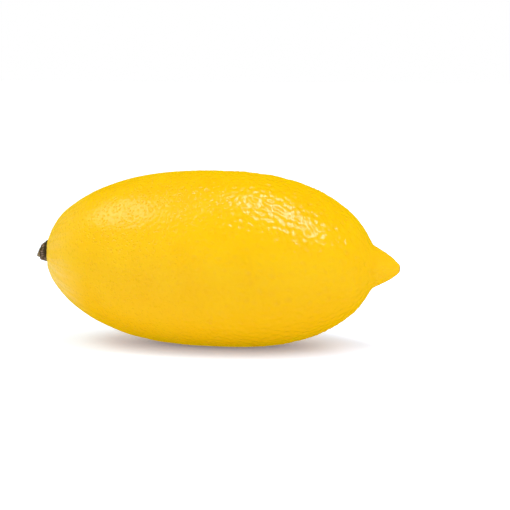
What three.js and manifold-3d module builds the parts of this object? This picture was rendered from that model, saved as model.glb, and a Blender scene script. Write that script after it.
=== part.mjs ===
// A whole lemon lying on its side, with the dried button that held it to its twig.
//
// Millimetres, +Z up. +X runs from the stem end to the blossom end. The origin is the centre of the
// small flat spot that the fruit rests on. "Along" is the distance from the stem pole on the fruit's
// axis, and an angle round that axis starts at +Y and turns towards +Z.

import * as THREE from 'three';
import { mergeVertices } from 'three/addons/utils/BufferGeometryUtils.js';
import Module from 'manifold-3d';

const { degToRad, seededRandom, smoothstep } = THREE.MathUtils;

// The body: two half ovals of one radius, each with its own length and fullness (2 is an ellipse)
const BODY_RADIUS = 24.8;
const WIDEST_AT = 48.8;
const BODY_END = 93.8;
const STEM_FULLNESS = 2.25;
const TIP_FULLNESS = 2.5;

// The nipple at the blossom end: a blunt cone that fades out inside the body
const FRUIT_LENGTH = 101.2;
const TIP_ROUNDING = 1.45;
const NIPPLE_HALF_ANGLE = degToRad(26);
const NIPPLE_LENGTH = 11;
const NIPPLE_FADE = 9;
const NECK_SHARPNESS = 5;

// The axis lies almost level: it sinks a little to the tip and lifts at the very stem end
const AXIS_PITCH = degToRad(0.35);
const TIP_DROP = 1.4;
const TIP_DROP_FROM = 50;
const STEM_LIFT = 0.3;
const STEM_LIFT_TO = 20;

// Where it rests
const REST_AT = 50.9;
const REST_ASIDE = -0.3;
const REST_CUT = 0.3;
const FLOOR_SLAB = new THREE.Vector3(120, 60, 10);

// What keeps it from being truly round
const SWELL_HEIGHT = 0.2;
const SWELL_COUNT = 5;
const GOLDEN_ANGLE = Math.PI * (3 - Math.sqrt(5));
const FURROW_COUNT = 9;
const FURROW_DEPTH = 0.35;
const FURROW_REACH = 9;
const FURROW_SOFTNESS = 3;
const DIMPLE_DEPTH = 0.5;
const DIMPLE_RADIUS = 4;
const SCAR_DEPTH = 0.35;
const SCAR_RADIUS = 1.3;

// Oil-gland pits, larger than life: each is one point of the rind pressed in
const POINT_SPACING = 1.75;
const POINT_JITTER = 0.22;
const PIT_DEPTH = 0.28;
const PIT_SEED = 11;
const PITS_ABOVE = [1.2, 3];
const PITS_FROM_ENDS = [3, 8];

// The button, its heights measured outwards from its seat in the dimple
const SEAT_GAP = 0.3;
const BORE_GAP = 0.35;
const BUTTON_LEAN = 0.16;
const BUTTON_RAISE = 0.25;
const BUTTON_SIDES = 60;
const LOBE_COUNT = 5;
const LOBE_SHARE = 0.06;
const WRINKLES_PER_LOBE = 3;
const WRINKLE_SHARE = 0.025;
const CALYX_RIM_RADIUS = 2.85;
const CALYX_TOP_RADIUS = 2.1;
const CALYX_HEIGHT = 1.85;
const STUB_RADIUS = 1.25;
const STUB_HEIGHT = 3.05;
const STUB_SIDES = 28;
const STUB_SPLINTER = 0.14;

const materials = {
  rind: new THREE.MeshStandardMaterial({ color: 0xf7c80c, roughness: 0.38, metalness: 0 }),
  calyx: new THREE.MeshStandardMaterial({ color: 0x4d3c2b, roughness: 0.85, metalness: 0 }),
  stub: new THREE.MeshStandardMaterial({ color: 0x9d8b68, roughness: 0.9, metalness: 0 }),
};

const wasm = await Module();
wasm.setup();

function bodyRadius(along) {
  const fromWidest = along - WIDEST_AT;
  const reach = fromWidest < 0 ? WIDEST_AT : BODY_END - WIDEST_AT;
  const fullness = fromWidest < 0 ? STEM_FULLNESS : TIP_FULLNESS;
  const share = Math.min(1, Math.abs(fromWidest) / reach);
  return BODY_RADIUS * Math.sqrt(1 - share ** fullness);
}

function nippleRadius(along) {
  const fromTip = FRUIT_LENGTH - along;
  const cone = Math.hypot(Math.sqrt(2 * TIP_ROUNDING * fromTip), Math.tan(NIPPLE_HALF_ANGLE) * fromTip);
  const fade = Math.max(0, fromTip - NIPPLE_LENGTH) / NIPPLE_FADE;
  return cone * Math.exp(-(fade ** 2));
}

// The half outline of the fruit, from pole to pole: x is along the axis, y is the radius
class FruitOutline extends THREE.Curve {
  getPoint(t, target = new THREE.Vector2()) {
    const along = FRUIT_LENGTH * (1 - Math.cos(Math.PI * t)) / 2;
    const sum = bodyRadius(along) ** NECK_SHARPNESS + nippleRadius(along) ** NECK_SHARPNESS;
    return target.set(along, sum ** (1 / NECK_SHARPNESS));
  }
}

function axisHeight(along) {
  const towardsTip = Math.max(0, along - TIP_DROP_FROM) / (FRUIT_LENGTH - TIP_DROP_FROM);
  const towardsStem = Math.max(0, 1 - along / STEM_LIFT_TO);
  const pitched = (REST_AT - along) * Math.tan(AXIS_PITCH);
  return BODY_RADIUS - REST_CUT + pitched - TIP_DROP * towardsTip ** 2 + STEM_LIFT * towardsStem ** 2;
}

function swell(along, angle) {
  let height = 0;
  for (let wave = 1; wave <= SWELL_COUNT; wave++) {
    const phase = wave * GOLDEN_ANGLE;
    const round = Math.cos(wave * angle + phase);
    height += round * Math.cos(wave * Math.PI * along / FRUIT_LENGTH + 2 * phase) / wave;
  }
  return SWELL_HEIGHT * height;
}

// How deep a round hollow of the given radius is, off its centre, as a share of its full depth
function hollow(offCentre, radius) {
  return Math.max(0, 1 - (offCentre / radius) ** 2) ** 2;
}

function furrow(along, radius, angle) {
  const reach = Math.exp(-((along / FURROW_REACH) ** 2)) * radius / (radius + FURROW_SOFTNESS);
  const wander = swell(along, 2 * angle) * 4;
  return FURROW_DEPTH * reach * (0.5 + 0.5 * Math.cos(FURROW_COUNT * angle + wander));
}

function rindPoint(outlinePoint, angle) {
  const along = outlinePoint.x;
  const fullness = outlinePoint.y / BODY_RADIUS;
  const radius = outlinePoint.y + swell(along, angle) * fullness - furrow(along, outlinePoint.y, angle);
  const sunk = along < WIDEST_AT
    ? DIMPLE_DEPTH * hollow(outlinePoint.y, DIMPLE_RADIUS)
    : -SCAR_DEPTH * hollow(outlinePoint.y, SCAR_RADIUS);
  return new THREE.Vector3(
    along - REST_AT + sunk,
    radius * Math.cos(angle) - REST_ASIDE,
    axisHeight(along) + radius * Math.sin(angle),
  );
}

// Rings of points from pole to pole, each staggered against the last one, so that the triangles
// between them are much alike all over the fruit. Each pole is a ring of one point.
function rindRings() {
  const outline = new FruitOutline();
  outline.arcLengthDivisions = 2000;
  const bands = Math.round(outline.getLength() / (POINT_SPACING * Math.sin(Math.PI / 3)));
  const points = [];
  const rings = outline.getSpacedPoints(bands).map((outlinePoint, band) => {
    const pole = band === 0 || band === bands;
    const count = pole ? 1 : Math.max(6, Math.round(2 * Math.PI * outlinePoint.y / POINT_SPACING));
    const ring = { first: points.length, count, stagger: band % 2 / 2 };
    for (let i = 0; i < count; i++) {
      const jitter = pole ? 0 : POINT_JITTER * (seededRandom() - 0.5);
      points.push(rindPoint(outlinePoint, 2 * Math.PI * (i + ring.stagger + jitter) / count));
    }
    return ring;
  });
  return { points, rings };
}

// Triangles between two neighbouring rings: each step moves on round the ring that lags behind
function stitch(near, far, triangles) {
  let i = 0;
  let j = 0;
  while (i < near.count || j < far.count) {
    const a = near.first + i % near.count;
    const b = far.first + j % far.count;
    const nearLags = (i + 1 + near.stagger) / near.count <= (j + 1 + far.stagger) / far.count;
    if (j === far.count || (i < near.count && nearLags)) {
      i++;
      if (near.count > 1) triangles.push(a, near.first + i % near.count, b);
    } else {
      j++;
      if (far.count > 1) triangles.push(a, far.first + j % far.count, b);
    }
  }
}

// For each point, the points that it shares a triangle with, itself included
function neighboursOf(triangles, count) {
  const neighbours = Array.from({ length: count }, () => new Set());
  for (let i = 0; i < triangles.length; i += 3) {
    const corners = triangles.slice(i, i + 3);
    for (const corner of corners) corners.forEach((other) => neighbours[corner].add(other));
  }
  return neighbours;
}

// Presses pits into the rind at random points of which no two are neighbours, away from the poles
// and the flat spot
function pressPits(geometry, triangles) {
  const position = geometry.getAttribute('position');
  const normal = geometry.getAttribute('normal');
  const neighbours = neighboursOf(triangles, position.count);
  const draws = neighbours.map((_, i) => ({ i, draw: seededRandom() }));
  draws.sort((a, b) => a.draw - b.draw);
  const pitted = new Set();
  const point = new THREE.Vector3();
  const inwards = new THREE.Vector3();
  for (const { i } of draws) {
    if ([...neighbours[i]].some((j) => pitted.has(j))) continue;
    pitted.add(i);
    point.fromBufferAttribute(position, i);
    const fromEnds = Math.min(point.x + REST_AT, FRUIT_LENGTH - REST_AT - point.x);
    const depth = PIT_DEPTH * (0.5 + seededRandom() / 2) * smoothstep(point.z, ...PITS_ABOVE)
      * smoothstep(fromEnds, ...PITS_FROM_ENDS);
    inwards.fromBufferAttribute(normal, i).multiplyScalar(-depth);
    point.add(inwards);
    position.setXYZ(i, point.x, point.y, point.z);
  }
}

function toSolid(geometry) {
  const vertProperties = new Float32Array(geometry.getAttribute('position').array);
  const triVerts = new Uint32Array(geometry.getIndex().array);
  return new wasm.Manifold(new wasm.Mesh({ numProp: 3, vertProperties, triVerts }));
}

function toGeometry(solid) {
  const mesh = solid.getMesh();
  const geometry = new THREE.BufferGeometry();
  geometry.setAttribute('position', new THREE.BufferAttribute(mesh.vertProperties, 3));
  geometry.setIndex(new THREE.BufferAttribute(mesh.triVerts, 1));
  geometry.computeVertexNormals();
  return geometry;
}

// The floor's slab, taken away from the fruit, leaves the flat spot at height 0
function cutRestSpot(geometry) {
  const slab = new THREE.BoxGeometry(FLOOR_SLAB.x, FLOOR_SLAB.y, FLOOR_SLAB.z);
  slab.translate(0, 0, -FLOOR_SLAB.z / 2);
  slab.deleteAttribute('normal');
  slab.deleteAttribute('uv');
  return toGeometry(toSolid(geometry).subtract(toSolid(mergeVertices(slab))));
}

function makeFruit() {
  seededRandom(PIT_SEED);
  const { points, rings } = rindRings();
  const triangles = [];
  for (let i = 1; i < rings.length; i++) stitch(rings[i - 1], rings[i], triangles);
  const geometry = new THREE.BufferGeometry().setFromPoints(points);
  geometry.setIndex(triangles);
  geometry.computeVertexNormals();
  pressPits(geometry, triangles);
  return new THREE.Mesh(cutRestSpot(geometry), materials.rind);
}

// Turns a profile round the button's axis, +Y here, then moves every point by the given rule
function turned(profile, sides, shape) {
  const geometry = new THREE.LatheGeometry(profile, sides);
  const position = geometry.getAttribute('position');
  const point = new THREE.Vector3();
  for (let i = 0; i < position.count; i++) {
    point.fromBufferAttribute(position, i);
    shape(point, Math.atan2(point.x, point.z));
    point.z -= BUTTON_LEAN * point.y;
    position.setXYZ(i, point.x, point.y, point.z);
  }
  geometry.computeVertexNormals();
  return geometry;
}

// Five stubby lobes grown into a ring round the stem, ridged by drying
function makeCalyx() {
  const bore = STUB_RADIUS + BORE_GAP;
  const profile = [
    [bore, 0],
    [CALYX_RIM_RADIUS - 0.35, 0],
    [CALYX_RIM_RADIUS, 0.2],
    [CALYX_RIM_RADIUS - 0.03, 0.5],
    [(CALYX_RIM_RADIUS + CALYX_TOP_RADIUS) / 2 + 0.05, CALYX_HEIGHT * 0.6],
    [CALYX_TOP_RADIUS, CALYX_HEIGHT * 0.93],
    [bore + 0.12, CALYX_HEIGHT],
    [bore, CALYX_HEIGHT * 0.85],
    [bore, 0],
  ].map(([radius, height]) => new THREE.Vector2(radius, height));
  const ridged = (point, angle) => {
    const outwards = smoothstep(Math.hypot(point.x, point.z), bore, CALYX_RIM_RADIUS);
    const lobe = LOBE_SHARE * Math.cos(LOBE_COUNT * angle);
    const wrinkle = WRINKLE_SHARE * Math.cos(LOBE_COUNT * WRINKLES_PER_LOBE * angle + 1);
    const grow = 1 + outwards * (lobe + wrinkle);
    point.set(point.x * grow, point.y * grow, point.z * grow);
  };
  return new THREE.Mesh(turned(profile, BUTTON_SIDES, ridged), materials.calyx);
}

// The stem, snapped off just outside the calyx
function makeStemStub() {
  const profile = [
    [0, 0],
    [STUB_RADIUS, 0],
    [STUB_RADIUS, STUB_HEIGHT * 0.35],
    [STUB_RADIUS * 0.97, STUB_HEIGHT * 0.7],
    [STUB_RADIUS * 0.78, STUB_HEIGHT * 0.9],
    [STUB_RADIUS * 0.42, STUB_HEIGHT],
    [0, STUB_HEIGHT * 0.96],
  ].map(([radius, height]) => new THREE.Vector2(radius, height));
  const splintered = (point, angle) => {
    const radius = Math.hypot(point.x, point.z);
    const raised = smoothstep(point.y, STUB_HEIGHT / 2, STUB_HEIGHT) * radius / STUB_RADIUS;
    point.y += STUB_SPLINTER * raised * (Math.cos(2 * angle + 1) + Math.cos(5 * angle));
  };
  return new THREE.Mesh(turned(profile, STUB_SIDES, splintered), materials.stub);
}

// The button stands in the dimple, turned so that its axis points out of the stem end
function makeButton() {
  const button = new THREE.Group();
  button.position.set(DIMPLE_DEPTH - REST_AT - SEAT_GAP, -REST_ASIDE, axisHeight(0) + BUTTON_RAISE);
  button.rotation.z = Math.PI / 2;
  const calyx = makeCalyx();
  calyx.name = 'calyx';
  const stub = makeStemStub();
  stub.name = 'stem_stub';
  button.add(calyx, stub);
  return button;
}

const fruit = makeFruit();
fruit.name = 'fruit';

const lemon = new THREE.Group();
lemon.add(fruit, makeButton());

export default lemon;
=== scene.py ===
# A whole lemon lying on its side, with the dried button that held it to its twig.
# Metres, in the CAD frame: +X runs from the stem end to the blossom end, and the origin is the
# centre of the small flat spot that the fruit rests on.
import math

import bpy
import numpy as np
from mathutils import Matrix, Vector, noise
from mathutils.kdtree import KDTree


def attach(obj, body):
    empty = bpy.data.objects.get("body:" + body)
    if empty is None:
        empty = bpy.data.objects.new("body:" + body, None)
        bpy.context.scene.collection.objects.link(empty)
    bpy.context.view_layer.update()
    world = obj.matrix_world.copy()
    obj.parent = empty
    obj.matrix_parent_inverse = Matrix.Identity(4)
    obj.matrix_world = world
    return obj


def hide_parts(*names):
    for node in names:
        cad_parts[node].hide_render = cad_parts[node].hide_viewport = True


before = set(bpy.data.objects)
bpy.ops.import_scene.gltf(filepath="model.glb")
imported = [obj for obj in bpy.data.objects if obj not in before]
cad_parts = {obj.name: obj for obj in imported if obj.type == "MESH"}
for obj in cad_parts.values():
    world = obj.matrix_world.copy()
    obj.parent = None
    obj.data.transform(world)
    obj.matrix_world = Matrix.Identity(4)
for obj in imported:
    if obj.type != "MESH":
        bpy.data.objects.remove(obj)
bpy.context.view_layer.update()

# The fruit's form, close to the CAD's: two half ovals of one radius that run out into a blunt nipple,
# grown a little out of round, furrowed round the stem and flat where it rests. "Along" is the
# distance from the stem pole, and an angle round the axis starts at +Y and turns towards +Z.
MM = 0.001
BODY_RADIUS = 24.8 * MM
WIDEST_AT = 48.8 * MM
BODY_END = 93.8 * MM
STEM_FULLNESS = 2.25
TIP_FULLNESS = 2.5
FRUIT_LENGTH = 101.2 * MM
TIP_ROUNDING = 1.45 * MM
NIPPLE_HALF_ANGLE = math.radians(26)
NIPPLE_LENGTH = 11 * MM
NIPPLE_FADE = 9 * MM
NECK_SHARPNESS = 5
AXIS_PITCH = math.radians(0.35)
TIP_DROP = 1.4 * MM
TIP_DROP_FROM = 50 * MM
STEM_LIFT = 0.3 * MM
STEM_LIFT_TO = 20 * MM
NECK_FILL = 0.8 * MM
NECK_AT = 92.5 * MM
NECK_REACH = 5 * MM
REST_AT = 50.9 * MM
REST_ASIDE = -0.3 * MM
REST_CUT = 0.3 * MM
SWELL_HEIGHT = 0.2 * MM
SWELL_COUNT = 5
GOLDEN_ANGLE = math.pi * (3 - math.sqrt(5))
FURROW_COUNT = 9
FURROW_DEPTH = 0.35 * MM
FURROW_REACH = 9 * MM
FURROW_SOFTNESS = 3 * MM
FURROW_WANDER = 4
DIMPLE_DEPTH = 0.6 * MM
DIMPLE_RADIUS = 6.5 * MM
SCAR_DEPTH = 0.15 * MM
SCAR_RADIUS = 1.0 * MM
OUTLINE_POINTS = 4001


def body_radius(along):
    """The radius of the two half ovals."""
    from_widest = along - WIDEST_AT
    reach = np.where(from_widest < 0, WIDEST_AT, BODY_END - WIDEST_AT)
    fullness = np.where(from_widest < 0, STEM_FULLNESS, TIP_FULLNESS)
    share = np.minimum(1, np.abs(from_widest) / reach)
    return BODY_RADIUS * np.sqrt(1 - share ** fullness)


def nipple_radius(along):
    """The radius of the nipple: a cone with a round tip, which fades out inside the body."""
    from_tip = FRUIT_LENGTH - along
    cone = np.hypot(np.sqrt(2 * TIP_ROUNDING * from_tip), math.tan(NIPPLE_HALF_ANGLE) * from_tip)
    fade = np.maximum(0, from_tip - NIPPLE_LENGTH) / NIPPLE_FADE
    return cone * np.exp(-fade ** 2)


def half_outline(spacing):
    """Evenly spaced points of the outline, from pole to pole: distances along, and radii."""
    turn = np.linspace(0, math.pi, OUTLINE_POINTS)
    along = FRUIT_LENGTH * (1 - np.cos(turn)) / 2
    radius = body_radius(along) ** NECK_SHARPNESS + nipple_radius(along) ** NECK_SHARPNESS
    radius = radius ** (1 / NECK_SHARPNESS)
    length = np.append(0, np.cumsum(np.hypot(np.diff(along), np.diff(radius))))
    even = np.linspace(0, length[-1], round(length[-1] / spacing) + 1)
    return np.interp(even, length, along), np.interp(even, length, radius)


def axis_height(along):
    """The height of the fruit's middle line, which is pitched and bends at both ends."""
    towards_tip = np.maximum(0, along - TIP_DROP_FROM) / (FRUIT_LENGTH - TIP_DROP_FROM)
    towards_stem = np.maximum(0, 1 - along / STEM_LIFT_TO)
    pitched = (REST_AT - along) * math.tan(AXIS_PITCH)
    bent = STEM_LIFT * towards_stem ** 2 - TIP_DROP * towards_tip ** 2
    return BODY_RADIUS - REST_CUT + pitched + bent


def swell(along, angle):
    """How far the fruit has grown out of round, as a few slow waves."""
    height = 0
    for wave in range(1, SWELL_COUNT + 1):
        phase = wave * GOLDEN_ANGLE
        lengthwise = np.cos(wave * math.pi * along / FRUIT_LENGTH + 2 * phase)
        height += np.cos(wave * angle + phase) * lengthwise / wave
    return SWELL_HEIGHT * height


def hollow(off_centre, radius):
    """How deep a round hollow is at a distance from its centre, as a share of its full depth."""
    return np.maximum(0, 1 - (off_centre / radius) ** 2) ** 2


def furrow(along, radius, angle):
    """How deep the furrows are that run out from the stem."""
    reach = np.exp(-(along / FURROW_REACH) ** 2) * radius / (radius + FURROW_SOFTNESS)
    wander = swell(along, 2 * angle) / MM * FURROW_WANDER
    return FURROW_DEPTH * reach * (0.5 + 0.5 * np.cos(FURROW_COUNT * angle + wander))


def neck_fill(along, angle):
    """The blossom end's neck is filled out at the front and back, where it is rounder."""
    near_neck = np.exp(-((along - NECK_AT) / NECK_REACH) ** 2)
    return NECK_FILL * near_neck * (0.5 + 0.5 * np.cos(2 * angle))


def on_fruit(along, radius, angle):
    """Points of the rind, one row each, from the outline's distances and radii and the angles."""
    grown = radius + swell(along, angle) * radius / BODY_RADIUS - furrow(along, radius, angle)
    grown += neck_fill(along, angle)
    dimple = DIMPLE_DEPTH * hollow(radius, DIMPLE_RADIUS)
    scar = -SCAR_DEPTH * hollow(radius, SCAR_RADIUS)
    x = along - REST_AT + np.where(along < WIDEST_AT, dimple, scar)
    y = grown * np.cos(angle) - REST_ASIDE
    z = axis_height(along) + grown * np.sin(angle)
    return np.stack([x, y, np.maximum(0, z)], axis=1)


# The peel: the one skin of the fruit, thick and waxy. Its oil glands show as pits, wide and well
# spaced towards the blossom end and fine and close towards the stem, in skin that is never quite
# even between them.
PEEL_SPACING = 0.4 * MM
FEWEST_ROUND = 6
RELIEF_ABOVE = 1.6 * MM
GLAND_SEED = 7
GLAND_SPACING_STEM = 1.15 * MM
GLAND_SPACING_TIP = 2.1 * MM
GLAND_VARIATION = 0.3
GLAND_SHARE_STEM = 0.36
GLAND_SHARE_TIP = 0.42
GLANDS_WIDEN = (0.2 * FRUIT_LENGTH, 0.75 * FRUIT_LENGTH)
GLAND_DEPTH = 0.17
GLAND_DEPTH_SPREAD = (0.5, 1.2)
GLAND_DEPTH_AT_POLES = 0.35
GLANDS_FROM_POLES = 5 * MM
GLANDS_ABOVE = 0.3 * MM
GLAND_FLOOR_FADE = 1.5
WAVE_COUNT = 40
BROAD_SEED = 3
BROAD_HEIGHT = 0.03 * MM
BROAD_LENGTHS = (5 * MM, 12 * MM)
FINE_SEED = 4
FINE_HEIGHT = 0.05 * MM
FINE_LENGTHS = (1.15 * MM, 2.0 * MM)
FINE_AT_STEM = 0.2
FINE_GROWS = (0.35 * FRUIT_LENGTH, 0.6 * FRUIT_LENGTH)
FINE_FADES_AT_TIP = 0.2 * FRUIT_LENGTH
CREASE_SEED = 6
CREASE_HEIGHT = 0.05 * MM
CREASE_LENGTHS = (0.9 * MM, 1.6 * MM)
CREASE_RING = 8 * MM
CREASE_STRETCH = 0.15
STEM_CREASE_REACH = 14 * MM
TIP_CREASE_REACH = 7 * MM


def peel_rings():
    """Rings of points from pole to pole, each staggered against the last. A pole is a ring of one."""
    alongs, radii = half_outline(PEEL_SPACING * math.sin(math.pi / 3))
    rings, along, radius, angle = [], [], [], []
    for band, (at, round_it) in enumerate(zip(alongs, radii)):
        pole = band in (0, len(alongs) - 1)
        count = 1 if pole else max(FEWEST_ROUND, round(2 * math.pi * round_it / PEEL_SPACING))
        stagger = band % 2 / 2
        rings.append((len(along), count, stagger))
        along.extend([at] * count)
        radius.extend([round_it] * count)
        angle.extend(2 * math.pi * (np.arange(count) + stagger) / count)
    return rings, np.array(along), np.array(radius), np.array(angle)


def stitch(near, far):
    """Triangles between two rings: each step moves on round the ring that lags behind."""
    near_first, near_count, near_stagger = near
    far_first, far_count, far_stagger = far
    triangles, i, j = [], 0, 0
    while i < near_count or j < far_count:
        a, b = near_first + i % near_count, far_first + j % far_count
        near_lags = (i + 1 + near_stagger) / near_count <= (j + 1 + far_stagger) / far_count
        if j == far_count or (i < near_count and near_lags):
            i += 1
            if near_count > 1:
                triangles.append((a, near_first + i % near_count, b))
        else:
            j += 1
            if far_count > 1:
                triangles.append((a, far_first + j % far_count, b))
    return triangles


def new_piece(name, points, faces, node):
    """A smooth mesh object that rides on the part's one body and stands for a CAD node."""
    mesh = bpy.data.meshes.new(name)
    mesh.from_pydata(points.tolist(), [], faces)
    mesh.shade_smooth()
    piece = bpy.data.objects.new(name, mesh)
    bpy.context.collection.objects.link(piece)
    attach(piece, "root")
    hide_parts(node)
    return piece


def outward(mesh):
    """The direction out of the surface at each point."""
    normals = np.empty(len(mesh.vertices) * 3)
    mesh.vertex_normals.foreach_get("vector", normals)
    return normals.reshape(-1, 3)


def fade_in(value, low, high):
    """0 below low, 1 above high and smooth between them."""
    share = np.clip((value - low) / (high - low), 0, 1)
    return share * share * (3 - 2 * share)


def lumps(points, seed, height, shortest, longest):
    """The uneven growth of the rind: waves of many lengths and directions, added up."""
    draw = np.random.default_rng(seed)
    directions = draw.normal(size=(WAVE_COUNT, 3))
    directions /= np.linalg.norm(directions, axis=1, keepdims=True)
    lengths = draw.uniform(shortest, longest, WAVE_COUNT)
    phases = draw.uniform(0, 2 * math.pi, WAVE_COUNT)
    waves = np.cos(points @ (directions * 2 * math.pi / lengths[:, None]).T + phases)
    return height * waves.sum(axis=1) * math.sqrt(2 / WAVE_COUNT)


def press_glands(points, along):
    """Heights of the pits and their low rims, and how deep inside a pit each point is."""
    draw = np.random.default_rng(GLAND_SEED)
    tree = KDTree(len(points))
    for i, point in enumerate(points):
        tree.insert(point, i)
    tree.balance()
    to_tip = fade_in(along, *GLANDS_WIDEN)
    spacing = GLAND_SPACING_STEM + (GLAND_SPACING_TIP - GLAND_SPACING_STEM) * to_tip
    spacing = spacing * (1 + GLAND_VARIATION * draw.uniform(-1, 1, len(points)))
    share = GLAND_SHARE_STEM + (GLAND_SHARE_TIP - GLAND_SHARE_STEM) * to_tip
    from_pole = np.minimum(along, FRUIT_LENGTH - along)
    away = fade_in(from_pole, 0, GLANDS_FROM_POLES)
    deepness = fade_in(points[:, 2], GLANDS_ABOVE, RELIEF_ABOVE)
    deepness *= GLAND_DEPTH_AT_POLES + (1 - GLAND_DEPTH_AT_POLES) * away
    deepness *= draw.uniform(*GLAND_DEPTH_SPREAD, len(points))
    height = np.zeros(len(points))
    inside = np.zeros(len(points))
    free = np.ones(len(points), dtype=bool)
    for i in draw.permutation(len(points)):
        if not free[i]:
            continue
        radius = share[i] * spacing[i]
        depth = GLAND_DEPTH * radius * deepness[i]
        for _, j, distance in tree.find_range(points[i], spacing[i]):
            free[j] = False
            off = (distance / radius) ** 2
            height[j] -= depth * (1 - off) * math.exp(-off)
            inside[j] = max(inside[j], math.exp(-GLAND_FLOOR_FADE * off) * deepness[i])
    return height, inside


rings, along, radius, angle = peel_rings()
peel_faces = [face for near, far in zip(rings, rings[1:]) for face in stitch(near, far)]
smooth_points = on_fruit(along, radius, angle)
peel = new_piece("peel", smooth_points, peel_faces, "fruit")
gland_height, gland_inside = press_glands(smooth_points, along)
above_rest = fade_in(smooth_points[:, 2], 0, RELIEF_ABOVE)
coarseness = FINE_AT_STEM + (1 - FINE_AT_STEM) * fade_in(along, *FINE_GROWS)
coarseness *= fade_in(FRUIT_LENGTH - along, 0, FINE_FADES_AT_TIP)
broad = lumps(smooth_points, BROAD_SEED, BROAD_HEIGHT, *BROAD_LENGTHS)
fine = lumps(smooth_points, FINE_SEED, FINE_HEIGHT, *FINE_LENGTHS) * coarseness
ring = CREASE_RING * np.stack([np.cos(angle), np.sin(angle)])
ring_place = np.stack([along * CREASE_STRETCH, *ring], axis=1)
creases = lumps(ring_place, CREASE_SEED, CREASE_HEIGHT, *CREASE_LENGTHS)
stem_creases = np.exp(-(along / STEM_CREASE_REACH) ** 2)
tip_creases = np.exp(-((FRUIT_LENGTH - along) / TIP_CREASE_REACH) ** 2)
creases *= (stem_creases + tip_creases) * radius / (radius + FURROW_SOFTNESS)
relief = gland_height + (broad + fine + creases) * above_rest
peel_points = smooth_points + outward(peel.data) * relief[:, None]
peel_points[:, 2] = np.maximum(0, peel_points[:, 2])
peel.data.vertices.foreach_set("co", peel_points.ravel())


def keep_value(piece, name, values):
    """Stores a number for each point of a piece, for its material to read."""
    attribute = piece.data.attributes.new(name, "FLOAT", "POINT")
    attribute.data.foreach_set("value", np.asarray(values, dtype=np.float32))


keep_value(peel, "gland", gland_inside)
keep_value(peel, "along", along / FRUIT_LENGTH)
keep_value(peel, "off_axis", radius / MM)
keep_value(peel, "round_y", np.cos(angle))
keep_value(peel, "round_z", np.sin(angle))


class Wire:
    """A socket that a shader node gives out. Sums written with it add Math nodes."""

    def __init__(self, finish, socket):
        self.finish, self.socket = finish, socket

    def __add__(self, other):
        return self.finish.math("ADD", self, other)

    def __radd__(self, other):
        return self.finish.math("ADD", other, self)

    def __sub__(self, other):
        return self.finish.math("SUBTRACT", self, other)

    def __rsub__(self, other):
        return self.finish.math("SUBTRACT", other, self)

    def __mul__(self, other):
        return self.finish.math("MULTIPLY", self, other)

    def __rmul__(self, other):
        return self.finish.math("MULTIPLY", other, self)


class Finish:
    """A material, or the sky, in the making. Every node of it comes from the method node."""

    def __init__(self, owner):
        self.owner = owner
        owner.use_nodes = True
        owner.node_tree.nodes.clear()

    def node(self, kind, settings=None, sockets=None, output=0):
        node = self.owner.node_tree.nodes.new("ShaderNode" + kind)
        for name, value in (settings or {}).items():
            setattr(node, name, value)
        for name, value in (sockets or {}).items():
            if isinstance(value, Wire):
                self.owner.node_tree.links.new(value.socket, node.inputs[name])
            else:
                node.inputs[name].default_value = value
        return Wire(self, node.outputs[output]) if node.outputs else None

    def math(self, operation, *values):
        return self.node("Math", {"operation": operation}, dict(enumerate(values)))

    def mix(self, share, first, second):
        """A colour between two others, as a Mix node numbers its colour sockets."""
        colours = {6: first, 7: second}
        opaque = {i: c if isinstance(c, Wire) else (*c, 1) for i, c in colours.items()}
        return self.node("Mix", {"data_type": "RGBA"}, {0: share, **opaque}, output=2)

    def step(self, value, low, high):
        """0 below low, 1 above high and smooth between them. It falls where low is the higher."""
        if low > high:
            return 1 - self.step(value, high, low)
        ends = {"Value": value, "From Min": low, "From Max": high}
        return self.node("MapRange", {"interpolation_type": "SMOOTHSTEP"}, ends)

    def place(self):
        """Where a point is on the piece, in metres."""
        return self.node("TexCoord", output="Object")

    def stored(self, name):
        """A number that keep_value has stored on the piece."""
        return self.node("Attribute", {"attribute_name": name}, output="Fac")

    def scaled(self, vector, by):
        return self.node("VectorMath", {"operation": "MULTIPLY"}, {0: vector, 1: by})

    def vector(self, x, y, z):
        return self.node("CombineXYZ", {}, {"X": x, "Y": y, "Z": z})

    def cloud(self, vector, size, detail, roughness=0.5):
        """Noise whose lumps are about as wide as size, in metres where the vector is."""
        sockets = {"Vector": vector, "Scale": 1 / size, "Detail": detail, "Roughness": roughness}
        return self.node("TexNoise", {}, sockets)

    def cells(self, vector, size):
        """Scattered cells about as wide as size: how far off a cell's own point is."""
        return self.node("TexVoronoi", {}, {"Vector": vector, "Scale": 1 / size})

    def bump(self, height, distance):
        return self.node("Bump", {}, {"Height": height, "Distance": distance}, "Normal")

    def coat(self, piece, sockets):
        """Ends the material in one Principled shader and puts it on the piece."""
        shader = self.node("BsdfPrincipled", {}, sockets)
        self.node("OutputMaterial", {}, {"Surface": shader})
        piece.data.materials.append(self.owner)


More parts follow.
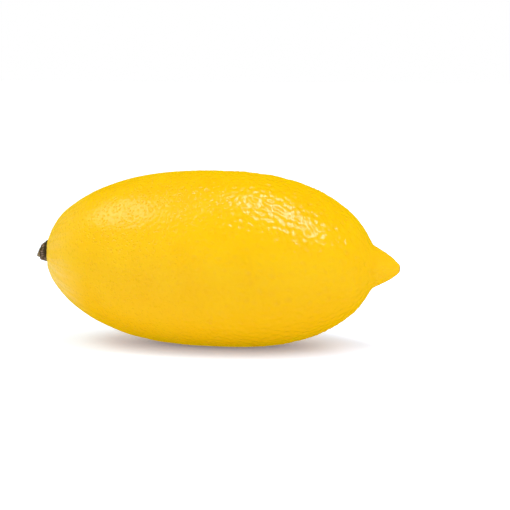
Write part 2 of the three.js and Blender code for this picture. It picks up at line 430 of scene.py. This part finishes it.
# The rind's colours, and the peach tint of its gloss, were set to suit the light of this setting.
RIND_GOLD = (0.765, 0.44, 0.0005)
RIND_LEMON = (0.775, 0.475, 0.0006)
RIND_UNDERSIDE_SHADE = (0.75, 0.36, 0.0005)
RIND_GLAND = (0.73, 0.39, 0.0004)
RIND_CREAM = (0.82, 0.60, 0.21)
RIND_TIP = (0.785, 0.46, 0.008)
SCAR_BROWN = (0.20, 0.11, 0.04)
SEAT_BROWN_AND_SHADE = (0.30, 0.20, 0.05)
MOTTLE_SIZE = 9 * MM
PORE_SIZE = 0.85 * MM
SKIN_SIZE = 0.6 * MM
WAX_SIZE = 1.0 * MM
RIND_BUMP = 0.045 * MM
RAY_COUNT = 80
RAY_LENGTH = 9 * MM
GRAIN_COUNT = 130
GRAIN_LENGTH = 5 * MM
RIND_SMOOTHEST = 0.13
WAX_TINT = (1.0, 0.52, 0.64, 1)
RIND_SCATTER = (1.0, 0.5, 0.08)
RIND_SCATTER_DEPTH = 1.5 * MM

rind = Finish(bpy.data.materials.new("lemon_rind"))
place = rind.place()
gland = rind.stored("gland")
along_share = rind.stored("along")
off_axis = rind.stored("off_axis")
round_y = rind.stored("round_y")
round_z = rind.stored("round_z")

mottle = rind.cloud(place, MOTTLE_SIZE, detail=3)
colour = rind.mix(rind.step(mottle, 0.2, 0.8), RIND_GOLD, RIND_LEMON)
# Painted shade: the lower side of the rind is made deeper and more orange than the rest.
painted_underside_shade = rind.step(round_z, 0.3, -0.9)
colour = rind.mix(painted_underside_shade * 0.6, colour, RIND_UNDERSIDE_SHADE)
colour = rind.mix(gland * 0.1, colour, RIND_GLAND)
pores = rind.cells(place, PORE_SIZE)
pore = rind.step(pores, 0.45, 0.08)
colour = rind.mix(pore * 0.1, colour, RIND_GLAND)


def streaks(count, length, detail):
    """Streaks that run from pole to pole: about so many round the fruit, and so long."""
    ring = count / (2 * math.pi)
    lengthwise = along_share * (FRUIT_LENGTH / length)
    streak_place = rind.vector(lengthwise, round_y * ring, round_z * ring)
    return rind.cloud(streak_place, 1, detail=detail)


rays = rind.step(streaks(RAY_COUNT, RAY_LENGTH, detail=3), 0.42, 0.62)
near_stem = rind.step(along_share, 0.17, 0.0) * (0.3 + 0.7 * rind.step(round_z, 0.15, -0.5))
colour = rind.mix(near_stem * (0.5 + 0.45 * rays), colour, RIND_CREAM)
grain = streaks(GRAIN_COUNT, GRAIN_LENGTH, detail=2)
stem_half = rind.step(along_share, 0.6, 0.3)
# A brown ring round the button: partly the rind's own ring, partly painted shade round its rim.
seat_ring_and_shade = rind.step(off_axis, 4.2, 2.9) * rind.step(along_share, 0.3, 0.2)
colour = rind.mix(seat_ring_and_shade * 0.7, colour, SEAT_BROWN_AND_SHADE)
# Painted shade: the groove of the neck before the nipple is darkened with the gland colour.
neck = rind.step(along_share, 0.87, 0.91) * rind.step(along_share, 0.96, 0.92)
colour = rind.mix(neck * 0.35, colour, RIND_GLAND)
near_tip = rind.step(along_share, 0.86, 1.0)
colour = rind.mix(near_tip * 0.6, colour, RIND_TIP)
scar = rind.step(off_axis, 1.1, 0.75) * rind.step(along_share, 0.9, 0.95)
colour = rind.mix(scar, colour, SCAR_BROWN)

skin = rind.cloud(place, SKIN_SIZE, detail=3, roughness=0.6)
waxy = rind.cloud(place, WAX_SIZE, detail=1)
relief_height = (
    skin * (0.5 + 0.5 * stem_half) + waxy * 0.9
    - pore * (0.7 + 1.6 * stem_half) + grain * stem_half
)
rind.coat(peel, {
    "Base Color": colour,
    "Roughness": RIND_SMOOTHEST + 0.05 * mottle + 0.06 * gland + 0.05 * stem_half + 0.5 * scar,
    "Specular IOR Level": 0.8,
    "Specular Tint": WAX_TINT,
    "Subsurface Weight": 0.2,
    "Subsurface Radius": RIND_SCATTER,
    "Subsurface Scale": RIND_SCATTER_DEPTH,
    "Normal": rind.bump(relief_height, RIND_BUMP),
})

# The button: what is left of the flower's green cup, five stubby lobes grown together into a
# ring, dried hard, dark and wrinkled. It sits in the dimple at the stem end.
BUTTON_LEAN = 0.22
BUTTON_RAISE = 0.3 * MM
SEAT_RISE = 0.35 * MM
BUTTON_SEAT = DIMPLE_DEPTH - REST_AT - SEAT_RISE
LOBE_COUNT = 5
LOBE_SHARE = 0.06
WRINKLES_PER_LOBE = 3
WRINKLE_SHARE = 0.025
MOUTH_RADIUS = 1.3 * MM
MOUTH_LIP = 0.4 * MM
RIM_RADIUS = 2.85 * MM
RUMPLE_SIZE = 0.9 * MM
RUMPLE_HEIGHT = 0.09 * MM
RIDGES_PER_LOBE = 2.5
RIDGE_WANDER = 2.2
RIDGE_ROUNDNESS = 0.7
RIDGE_MIDDLE = 0.6
RIDGE_HEIGHT = 0.1 * MM
RIDGE_SPAN = 0.2 * MM
BURIED = (-0.1 * MM, 0.3 * MM)
CRUMPLE_SHIFT = (13.7, 5.1, 9.3)
CRUMPLE_FRACTAL = (0.9, 2.1, 4)
CALYX_SIDES = 240
CALYX_STEP = 0.05 * MM
CALYX_SEED = 5
CALYX_PROFILE = [
    (0.0, -0.8), (2.3, -0.8), (2.6, -0.4), (2.86, 0.0), (2.92, 0.25), (2.86, 0.5), (2.66, 0.9),
    (2.48, 1.4), (2.3, 1.83), (2.06, 2.18), (1.8, 2.34), (1.56, 2.26), (1.42, 2.1), (0.0, 2.0),
]


def fine_profile(profile, step):
    """A profile in millimetres as even steps in metres: radii and heights."""
    radius, height = np.array(profile).T * MM
    length = np.append(0, np.cumsum(np.hypot(np.diff(radius), np.diff(height))))
    even = np.linspace(0, length[-1], round(length[-1] / step) + 1)
    return np.interp(even, length, radius), np.interp(even, length, height)


def turned(profile, step, sides):
    """A profile that starts and ends on its axis, turned: its points' values and its faces."""
    radii, heights = fine_profile(profile, step)
    radius = np.repeat(radii[1:-1], sides)
    height = np.repeat(heights[1:-1], sides)
    angle = np.tile(2 * math.pi * np.arange(sides) / sides, len(radii) - 2)
    radius = np.concatenate([[0], radius, [0]])
    height = np.concatenate([[heights[0]], height, [heights[-1]]])
    angle = np.concatenate([[0], angle, [0]])
    last = len(radius) - 1
    after = [(i + 1) % sides for i in range(sides)]
    faces = [(0, 1 + after[i], 1 + i) for i in range(sides)]
    for row in range(len(radii) - 3):
        low, high = 1 + row * sides, 1 + (row + 1) * sides
        faces += [(low + i, low + after[i], high + after[i], high + i) for i in range(sides)]
    top = 1 + (len(radii) - 3) * sides
    faces += [(top + i, top + after[i], last) for i in range(sides)]
    return radius, height, angle, faces


def out_of_stem_end(radius, height, angle):
    """Points of the button in the frame: heights run outwards, along -X, and lean down a little."""
    aside = radius * np.sin(angle)
    up = radius * np.cos(angle) - BUTTON_LEAN * height
    middle = float(axis_height(np.array(0.0))) + BUTTON_RAISE
    return np.stack([BUTTON_SEAT - height, aside - REST_ASIDE, middle + up], axis=1)


def crumpled(points, size, seed):
    """Fractal noise from about -1 to 1 at each point, for lumps about as wide as size."""
    shift = Vector([seed * step for step in CRUMPLE_SHIFT])
    return np.array([noise.fractal(Vector(p) / size + shift, *CRUMPLE_FRACTAL) for p in points])


radius, height, angle, calyx_faces = turned(CALYX_PROFILE, CALYX_STEP, CALYX_SIDES)
outwards = fade_in(radius, MOUTH_RADIUS, RIM_RADIUS)
lobes = LOBE_SHARE * np.cos(LOBE_COUNT * angle)
wrinkles = WRINKLE_SHARE * np.cos(LOBE_COUNT * WRINKLES_PER_LOBE * angle + 1)
grow = 1 + outwards * (lobes + wrinkles)
radius, height = radius * grow, height * np.where(height > 0, grow, 1)
calyx_points = out_of_stem_end(radius, height, angle)
calyx = new_piece("calyx_dried", calyx_points, calyx_faces, "calyx")
rumple = crumpled(calyx_points, RUMPLE_SIZE, CALYX_SEED)
ridge_turn = LOBE_COUNT * RIDGES_PER_LOBE * angle + RIDGE_WANDER * rumple
ridges = np.abs(np.sin(ridge_turn)) ** RIDGE_ROUNDNESS - RIDGE_MIDDLE
shown = fade_in(radius, MOUTH_RADIUS, MOUTH_RADIUS + MOUTH_LIP) * fade_in(height, *BURIED)
calyx_relief = (RUMPLE_HEIGHT * rumple + RIDGE_HEIGHT * ridges * outwards) * shown
calyx_points += outward(calyx.data) * calyx_relief[:, None]
calyx.data.vertices.foreach_set("co", calyx_points.ravel())
keep_value(calyx, "ridge", np.clip(0.5 + calyx_relief / RIDGE_SPAN, 0, 1))
keep_value(calyx, "out", height / MM)
keep_value(calyx, "up", np.cos(angle))

CALYX_BLACK = (0.014, 0.009, 0.004)
CALYX_BROWN = (0.06, 0.03, 0.014)
CALYX_GREY = (0.27, 0.18, 0.125)
BLOTCH_SIZE = 1.1 * MM
HUSK_FIBRE = 0.16 * MM
HUSK_BUMP = 0.05 * MM

husk = Finish(bpy.data.materials.new("dried_calyx"))
place = husk.place()
ridge = husk.stored("ridge")
out = husk.stored("out")
blotch = husk.cloud(place, BLOTCH_SIZE, detail=4, roughness=0.65)
colour = husk.mix(husk.step(ridge, 0.2, 0.6), CALYX_BLACK, CALYX_BROWN)
colour = husk.mix(husk.step(ridge * 0.6 + blotch * 0.6, 0.55, 0.85), colour, CALYX_GREY)
# Painted shade: the husk is blackened next to the fruit, more on its upper side, for the shadowed
# gap.
above = husk.step(husk.stored("up"), -0.5, 0.4)
shade_near_fruit = husk.step(out + blotch, 1.9, 1.1)
colour = husk.mix(shade_near_fruit * (0.35 + 0.65 * above), colour, CALYX_BLACK)
fibre = husk.cloud(place, HUSK_FIBRE, detail=4, roughness=0.7)
husk.coat(calyx, {
    "Base Color": colour,
    "Roughness": 0.55 + 0.35 * blotch,
    "Normal": husk.bump(fibre, HUSK_BUMP),
})

# The stem: a woody stub that snapped off just outside the button. Its bark is wrinkled
# lengthwise, and its fibres broke at different heights.
STUB_SIDES = 180
STUB_STEP = 0.05 * MM
STUB_SEED = 9
STUB_PROFILE = [
    (0.0, 1.2), (1.5, 1.2), (1.52, 1.9), (1.46, 2.3), (1.34, 2.65), (1.2, 2.9), (1.0, 3.08),
    (0.0, 3.1),
]
BARK_RIDGES = 5.5
BARK_HEIGHT = 0.07 * MM
BARK_WANDER = 1.5 * MM
ROUGH_SIZE = 0.5 * MM
ROUGH_HEIGHT = 0.05 * MM
SIDE_FROM = (1.05 * MM, 1.25 * MM)
END_FROM = (2.75 * MM, 3.15 * MM)
FIBRE_WIDTH = 0.2 * MM
FIBRE_STEP = 0.16 * MM
BREAK_SLANT = 0.45

radius, height, angle, stub_faces = turned(STUB_PROFILE, STUB_STEP, STUB_SIDES)
stub_points = out_of_stem_end(radius, height, angle)
stub = new_piece("stem_stub_broken", stub_points, stub_faces, "stem_stub")
bark = np.abs(np.sin(BARK_RIDGES * angle + crumpled(stub_points, BARK_WANDER, STUB_SEED)))
rough = crumpled(stub_points, ROUGH_SIZE, STUB_SEED + 1)
on_side = fade_in(radius, *SIDE_FROM)
across = stub_points * (0, 1, 1)
broken = np.array([noise.cell(Vector(p) / FIBRE_WIDTH) for p in across])
at_end = fade_in(height, *END_FROM)
stub_relief = (BARK_HEIGHT * (bark - 0.5) + ROUGH_HEIGHT * rough) * on_side
stub_points += outward(stub.data) * stub_relief[:, None]
stub_points[:, 0] += (BREAK_SLANT * radius * np.cos(angle) - FIBRE_STEP * broken) * at_end
stub.data.vertices.foreach_set("co", stub_points.ravel())
keep_value(stub, "end", at_end * (1 - 0.6 * on_side))
keep_value(stub, "bark", bark)
keep_value(stub, "fibre", broken)

BARK_BROWN = (0.10, 0.06, 0.028)
BARK_TAN = (0.27, 0.19, 0.10)
WOOD_TAN = (0.42, 0.36, 0.22)
WOOD_DARK = (0.16, 0.12, 0.06)
GRAIN_STRETCH = (0.2, 1, 1)
GRAIN_WIDTH = 0.15 * MM
WOOD_BUMP = 0.04 * MM

wood = Finish(bpy.data.materials.new("broken_stem"))
place = wood.place()
bark_height = wood.stored("bark")
end = wood.stored("end")
fibres = wood.stored("fibre")
grain = wood.cloud(wood.scaled(place, GRAIN_STRETCH), GRAIN_WIDTH, detail=3)
colour = wood.mix(wood.step(bark_height * 0.7 + grain * 0.5, 0.3, 0.9), BARK_BROWN, BARK_TAN)
cut = wood.mix(wood.step(fibres * 0.6 + grain * 0.6, 0.3, 0.8), WOOD_DARK, WOOD_TAN)
colour = wood.mix(wood.step(end, 0.2, 0.7), colour, cut)
wood.coat(stub, {
    "Base Color": colour,
    "Roughness": 0.65 + 0.3 * grain,
    "Normal": wood.bump(grain, WOOD_BUMP),
})

# The setting: a plain white floor that glows to stay white. Its glow is painted light: it is
# least under the fruit, which paints a tight grey shadow there, and cool blue round it, which
# paints over the yellow that the fruit throws onto the floor. The camera sees a plain white sky,
# but glossy surfaces mirror a dimmer amber one with no blue in it, and no floor. A long bright
# softbox hangs above and to the right, and a wider, dimmer and warmer one to the left.
FLOOR_SIZE = 4.0
FLOOR_WHITE = (0.88, 0.93, 1.0, 1)
GLOW_IN_PAINTED_SHADOW = (0.03, 0.07, 0.15)
GLOW_ROUND_PAINTED_SHADOW = (0.24, 0.35, 0.52)
GLOW_FAR = (0.5, 0.5, 0.5)
GLOW_STRETCH = (0.3, 1, 1)
GLOW_FADE = (0, 25 * MM)
GLOW_FAR_FADE = (120 * MM, 350 * MM)
SKY_SEEN = 1.0
SKY_MIRRORED = 0.8
SKY_WARM = (1.0, 0.78, 0.0)
SKY_TOP = 0.6
SKY_SIDE = 1.3
LOOK_AT = Vector((0.00913, 0.00183, 0.0254))
CAMERA_AZIMUTH = math.radians(9)
CAMERA_ELEVATION = math.radians(9)
CAMERA_DISTANCE = 0.4
LENS = 100
SENSOR_WIDTH = 36
SOFTBOX_AWAY = 0.8

bpy.ops.mesh.primitive_plane_add(size=FLOOR_SIZE)
floor = bpy.context.object
floor.name = "floor"
paper = Finish(bpy.data.materials.new("white_floor"))
off_line = paper.scaled(paper.place(), GLOW_STRETCH)
off_middle = paper.node("VectorMath", {"operation": "LENGTH"}, {0: off_line}, "Value")
painted_floor_glow = paper.mix(paper.step(off_middle, *GLOW_FADE), GLOW_IN_PAINTED_SHADOW, GLOW_ROUND_PAINTED_SHADOW)
painted_floor_glow = paper.mix(paper.step(off_middle, *GLOW_FAR_FADE), painted_floor_glow, GLOW_FAR)
paper.coat(floor, {
    "Base Color": FLOOR_WHITE,
    "Roughness": 0.8,
    "Emission Color": painted_floor_glow,
    "Emission Strength": 1.0,
})
floor.visible_glossy = False

sky = Finish(bpy.data.worlds.new("white_sky"))
seen = sky.node("LightPath", output="Is Camera Ray")
mirrored = sky.node("LightPath", output="Is Glossy Ray")
upwards = sky.node("SeparateXYZ", {}, {"Vector": sky.node("TexCoord", output="Generated")}, "Z")
even = SKY_TOP + (SKY_SIDE - SKY_TOP) * sky.step(upwards, 0.8, 0.0)
strength = even + seen * (SKY_SEEN - even) + mirrored * (SKY_MIRRORED - even)
colour = sky.mix(mirrored, (1, 1, 1), SKY_WARM)
light = sky.node("Background", {}, {"Color": colour, "Strength": strength})
sky.node("OutputWorld", {}, {"Surface": light})
bpy.context.scene.world = sky.owner
bpy.context.scene.view_settings.view_transform = "Standard"


def towards(azimuth, elevation):
    """The direction to a thing at that place round the object. Azimuth 0 is in front, at -Y."""
    level = math.cos(elevation)
    return Vector((math.sin(azimuth) * level, -math.cos(azimuth) * level, math.sin(elevation)))


def softbox(name, azimuth, elevation, width, height, power, colour):
    """A rectangular lamp that hangs at those degrees round and up, and faces the fruit."""
    lamp = bpy.data.lights.new(name, "AREA")
    lamp.shape, lamp.size, lamp.size_y = "RECTANGLE", width, height
    lamp.energy, lamp.color = power, colour
    box = bpy.data.objects.new(name, lamp)
    bpy.context.collection.objects.link(box)
    back = towards(math.radians(azimuth), math.radians(elevation))
    box.location = LOOK_AT + back * SOFTBOX_AWAY
    box.rotation_euler = back.to_track_quat("Z", "Y").to_euler()


softbox("softbox_right", azimuth=62, elevation=66, width=0.15, height=0.8, power=3.3,
        colour=(1.0, 0.96, 1.0))
softbox("softbox_left", azimuth=-74, elevation=52, width=0.5, height=0.34, power=1.7,
        colour=(1.0, 0.98, 0.72))

camera = bpy.data.objects.new("camera", bpy.data.cameras.new("camera"))
bpy.context.collection.objects.link(camera)
camera.data.lens, camera.data.sensor_width = LENS, SENSOR_WIDTH
backwards = towards(CAMERA_AZIMUTH, CAMERA_ELEVATION)
camera.location = LOOK_AT + backwards * CAMERA_DISTANCE
camera.rotation_euler = backwards.to_track_quat("Z", "Y").to_euler()
bpy.context.scene.camera = camera
